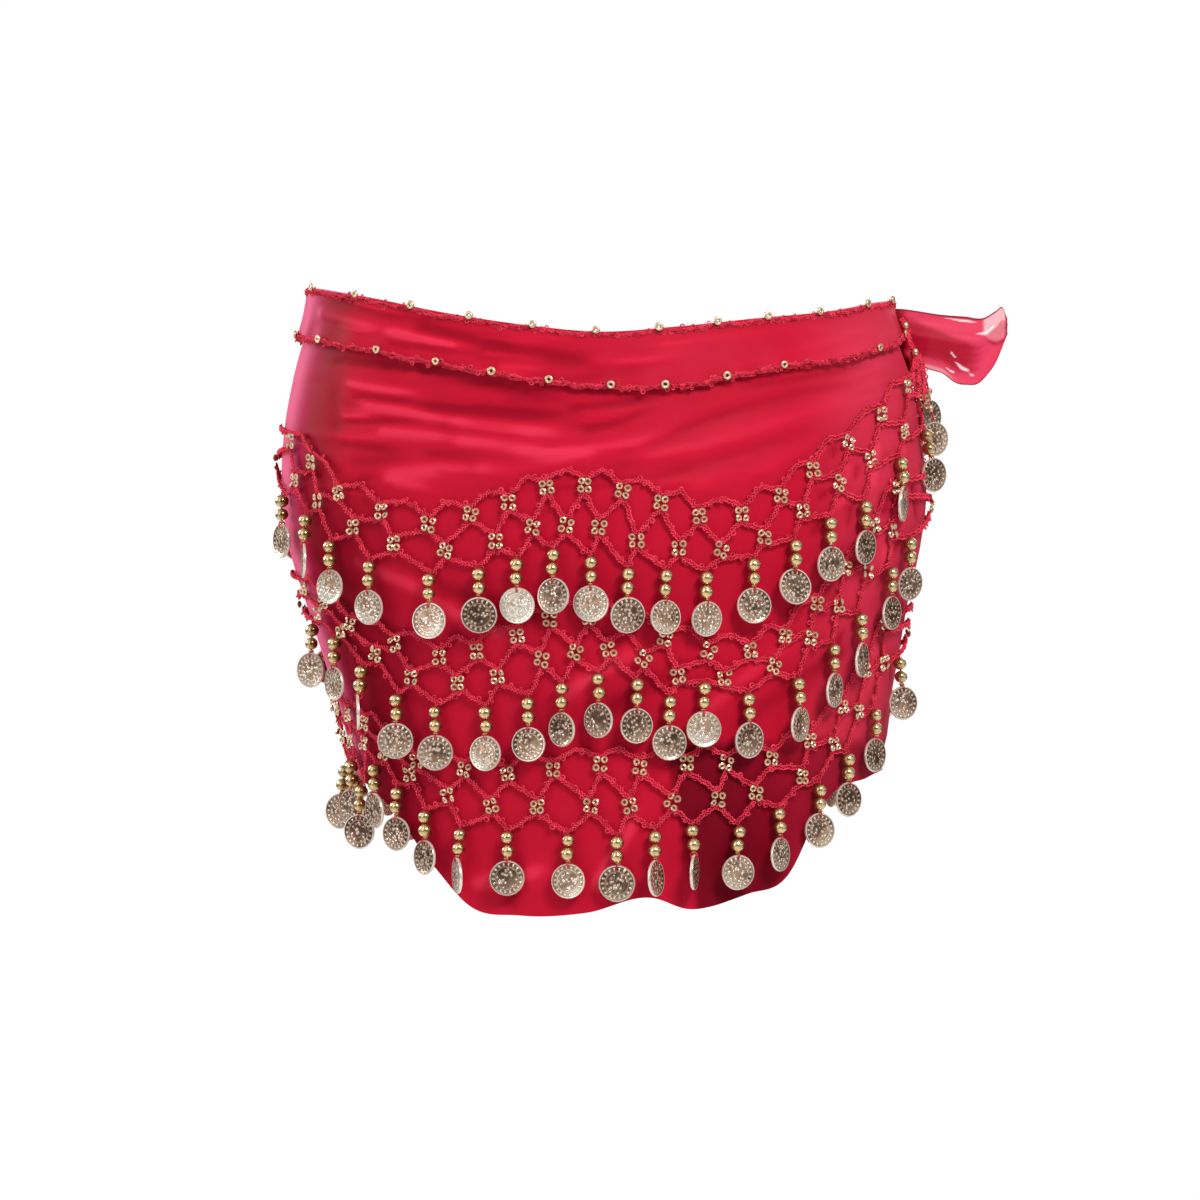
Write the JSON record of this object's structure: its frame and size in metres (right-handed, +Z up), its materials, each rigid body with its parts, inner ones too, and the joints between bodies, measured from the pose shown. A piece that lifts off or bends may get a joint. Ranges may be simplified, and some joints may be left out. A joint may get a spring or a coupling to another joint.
{
  "type": "belly dance hip scarf",
  "caption": "Worn hip scarf of red chiffon, tied at the side, with tiers of crocheted net, beads and coin drops; hollow, with nobody in it.",
  "frame": {"origin": "centre of the waist opening, level with the line that the wearer holds the scarf up at", "axes": "+Z up along the wearer's axis, -Y out of the front, +X towards the knot and its tail"},
  "size_m": [0.4034, 0.2476, 0.3427],
  "materials": {
    "chiffon": "fine crimson chiffon with a soft sheen",
    "crochet_thread": "twisted crimson crochet thread with small gold beads",
    "coin_net": "crimson crochet thread with polished gold beads and pale antique gold coins",
    "sheer_chiffon": "single see-through layer of crimson chiffon"
  },
  "bodies": {
    "root": {"cloth_front_knot": "chiffon", "cloth_front_plain": "chiffon", "cloth_back_plain": "chiffon", "cloth_back_knot": "chiffon", "waistband_front": "chiffon", "waistband_back": "chiffon", "knot": "chiffon", "edging_top_front": "crochet_thread", "edging_top_back": "crochet_thread", "edging_band_front": "crochet_thread", "edging_band_back": "crochet_thread", "net_upper_front": "coin_net", "net_upper_back": "coin_net", "net_middle_front": "coin_net", "net_middle_back": "coin_net", "net_lower_front": "coin_net", "net_lower_back": "coin_net", "tail_side": "sheer_chiffon", "tail_rear": "sheer_chiffon"}
  },
  "joints": []
}
